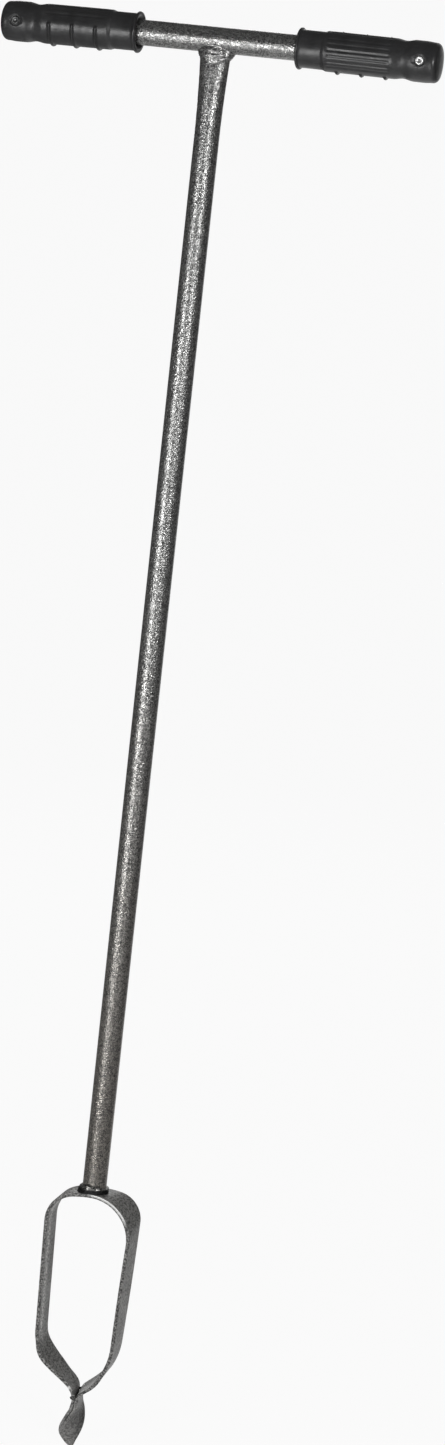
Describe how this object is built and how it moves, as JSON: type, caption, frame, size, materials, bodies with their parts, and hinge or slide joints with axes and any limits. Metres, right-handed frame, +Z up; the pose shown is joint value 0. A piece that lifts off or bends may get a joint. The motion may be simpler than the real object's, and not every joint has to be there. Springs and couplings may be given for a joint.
{
  "type": "hand earth auger",
  "caption": "T-handled hand auger: a painted steel tube with ribbed black grips, welded to a bent flat-strip bow whose ends twist together into a pointed leaf tip that bores holes in soil.",
  "frame": {"origin": "on the shaft's axis at the height of the leaf's point", "axes": "+Z up the shaft to the handle, +X along the crossbar to the picture's right, -Y to the front"},
  "size_m": [0.3574, 0.0338, 1.1815],
  "materials": {
    "tube_paint": "dark grey hammertone",
    "weld_bead": "dark shiny weld",
    "strip_steel": "satin, warm grey",
    "grip_rubber": "satin black",
    "rivet_aluminium": "satin",
    "mandrel_steel": "dull"
  },
  "bodies": {
    "root": {"crossbar_tube": "tube_paint", "shaft_tube": "tube_paint", "crossbar_weld": "tube_paint", "bow_weld": "weld_bead", "auger_bow": "strip_steel", "front_tip_tack": "weld_bead", "rear_tip_tack": "weld_bead", "left_grip": "grip_rubber", "right_grip": "grip_rubber", "left_rivet_sleeve": "rivet_aluminium", "right_rivet_sleeve": "rivet_aluminium", "left_rivet_mandrel": "mandrel_steel", "right_rivet_mandrel": "mandrel_steel"}
  },
  "joints": []
}
